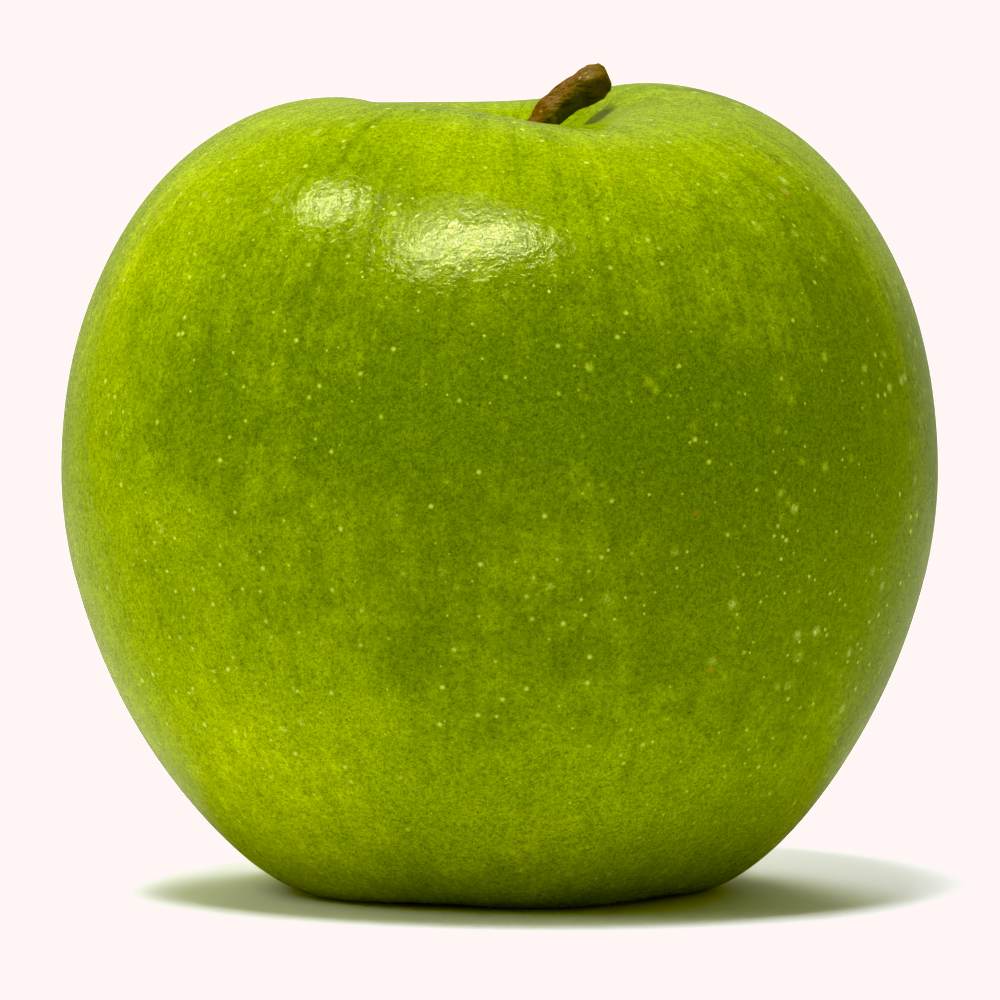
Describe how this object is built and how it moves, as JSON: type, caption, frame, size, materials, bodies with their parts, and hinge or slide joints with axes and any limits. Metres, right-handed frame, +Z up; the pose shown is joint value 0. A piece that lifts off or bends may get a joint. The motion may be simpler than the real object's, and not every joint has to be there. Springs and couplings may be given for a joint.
{
  "type": "green apple",
  "caption": "Whole fresh green eating apple with its stem in the top cavity and the dried calyx in the base; stands on its base lobes.",
  "frame": {"origin": "on the surface that the apple stands on, under the middle of its width and depth", "axes": "+Z up along the core's line from calyx to stem, -Y the front, +X to the right of the front, which is the way the stem leans"},
  "size_m": [0.0778, 0.0774, 0.0734],
  "materials": {
    "skin": "waxy, half glossy",
    "bark": "dry, rough",
    "dried_leaf": "downy, matte",
    "dried_flower": "brittle, matte"
  },
  "bodies": {
    "root": {"fruit": "skin", "stem": "bark", "sepal_1": "dried_leaf", "sepal_2": "dried_leaf", "sepal_3": "dried_leaf", "sepal_4": "dried_leaf", "sepal_5": "dried_leaf", "stamens": "dried_flower", "styles": "dried_flower"}
  },
  "joints": []
}
